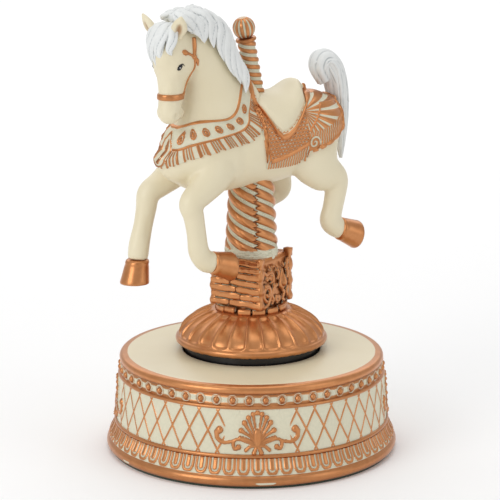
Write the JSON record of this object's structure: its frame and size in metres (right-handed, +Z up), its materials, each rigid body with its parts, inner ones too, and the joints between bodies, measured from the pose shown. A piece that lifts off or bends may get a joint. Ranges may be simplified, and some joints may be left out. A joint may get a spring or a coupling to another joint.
{
  "type": "carousel music box",
  "caption": "Wind-up music box: a cream and copper carousel horse on a twisted column turns with its fluted pedestal on a round relief base.",
  "frame": {"origin": "centre of the underside of the round base, on the axis that the figure turns about", "axes": "+Z up along the turntable axis; the front ornament faces -Y and the horse looks towards -X and a little towards -Y"},
  "size_m": [0.125, 0.125, 0.1947],
  "materials": {
    "cream_resin": "satin cream paint on cast resin",
    "copper_resin": "satin copper paint on cast resin",
    "white_resin": "satin white paint on cast resin",
    "black_gloss": "gloss black enamel",
    "black_plastic": "moulded black plastic",
    "felt": "pressed wool felt",
    "steel": "plain steel",
    "nickel_steel": "nickel-plated steel",
    "spring_steel": "blued spring steel",
    "zinc_casting": "die-cast zinc",
    "brass": "turned brass",
    "nylon": "moulded nylon"
  },
  "bodies": {
    "base": {"base_shell": "cream_resin", "felt_ring": "felt", "bottom_cover": "black_plastic", "cover_screws": "steel", "bedplate": "zinc_casting", "movement_screws": "steel", "comb": "steel", "comb_screws": "steel", "governor_bracket": "brass"},
    "key": {"winding_key": "nickel_steel", "key_arbor": "steel", "ratchet_wheel": "steel"},
    "pawl": {"click": "steel"},
    "turntable": {"mainspring": "spring_steel", "spring_barrel": "brass", "barrel_lid": "brass", "crown_wheel": "nylon", "output_spindle": "steel", "turntable_disc": "black_plastic", "disc_screws": "steel", "pedestal_dome": "copper_resin", "plinth": "copper_resin", "lower_column": "copper_resin", "horse_body": "cream_resin", "hooves": "copper_resin", "eyes": "black_gloss", "mane": "white_resin", "forelock": "white_resin", "tail": "white_resin", "bridle": "copper_resin", "breast_collar": "copper_resin", "saddle_cloth": "copper_resin", "saddle": "cream_resin", "upper_pole": "copper_resin", "pole_collar": "copper_resin", "finial_ball": "copper_resin"},
    "cylinder": {"pinned_cylinder": "brass", "cylinder_arbor": "steel", "cylinder_pinion": "brass", "cylinder_gear": "brass"},
    "relay": {"relay_arbor": "steel", "relay_pinion": "steel", "worm_wheel": "brass"},
    "governor": {"governor_worm": "steel", "governor_fan": "nylon"}
  },
  "joints": [
    {"name": "turntable_spin", "type": "hinge", "parent": "base", "child": "turntable", "pos_m": [0, 0, 0.0446], "axis": [0, 0, 1], "continuous": true},
    {"name": "key_wind", "type": "hinge", "parent": "base", "child": "key", "pos_m": [0, 0, 0.012], "axis": [0, 0, 1], "continuous": true},
    {"name": "pawl_lift", "type": "hinge", "parent": "base", "child": "pawl", "pos_m": [-0.0022, -0.0122, 0.0147], "axis": [0, 0, 1], "range_deg": [0, 8], "stiffness_Nm_per_rad": 0.0005},
    {"name": "cylinder_spin", "type": "hinge", "parent": "base", "child": "cylinder", "pos_m": [0.0256, 0, 0.0226], "axis": [1, 0, 0], "continuous": true},
    {"name": "relay_spin", "type": "hinge", "parent": "base", "child": "relay", "pos_m": [0.0385, -0.008, 0.0226], "axis": [1, 0, 0], "continuous": true},
    {"name": "governor_spin", "type": "hinge", "parent": "base", "child": "governor", "pos_m": [0.0396, -0.0144, 0.0226], "axis": [0, 0, 1], "continuous": true}
  ],
  "couplings": [
    {"joint": "cylinder_spin", "follows": "turntable_spin", "ratio": -2.3333},
    {"joint": "relay_spin", "follows": "turntable_spin", "ratio": 7},
    {"joint": "governor_spin", "follows": "turntable_spin", "ratio": 140}
  ]
}
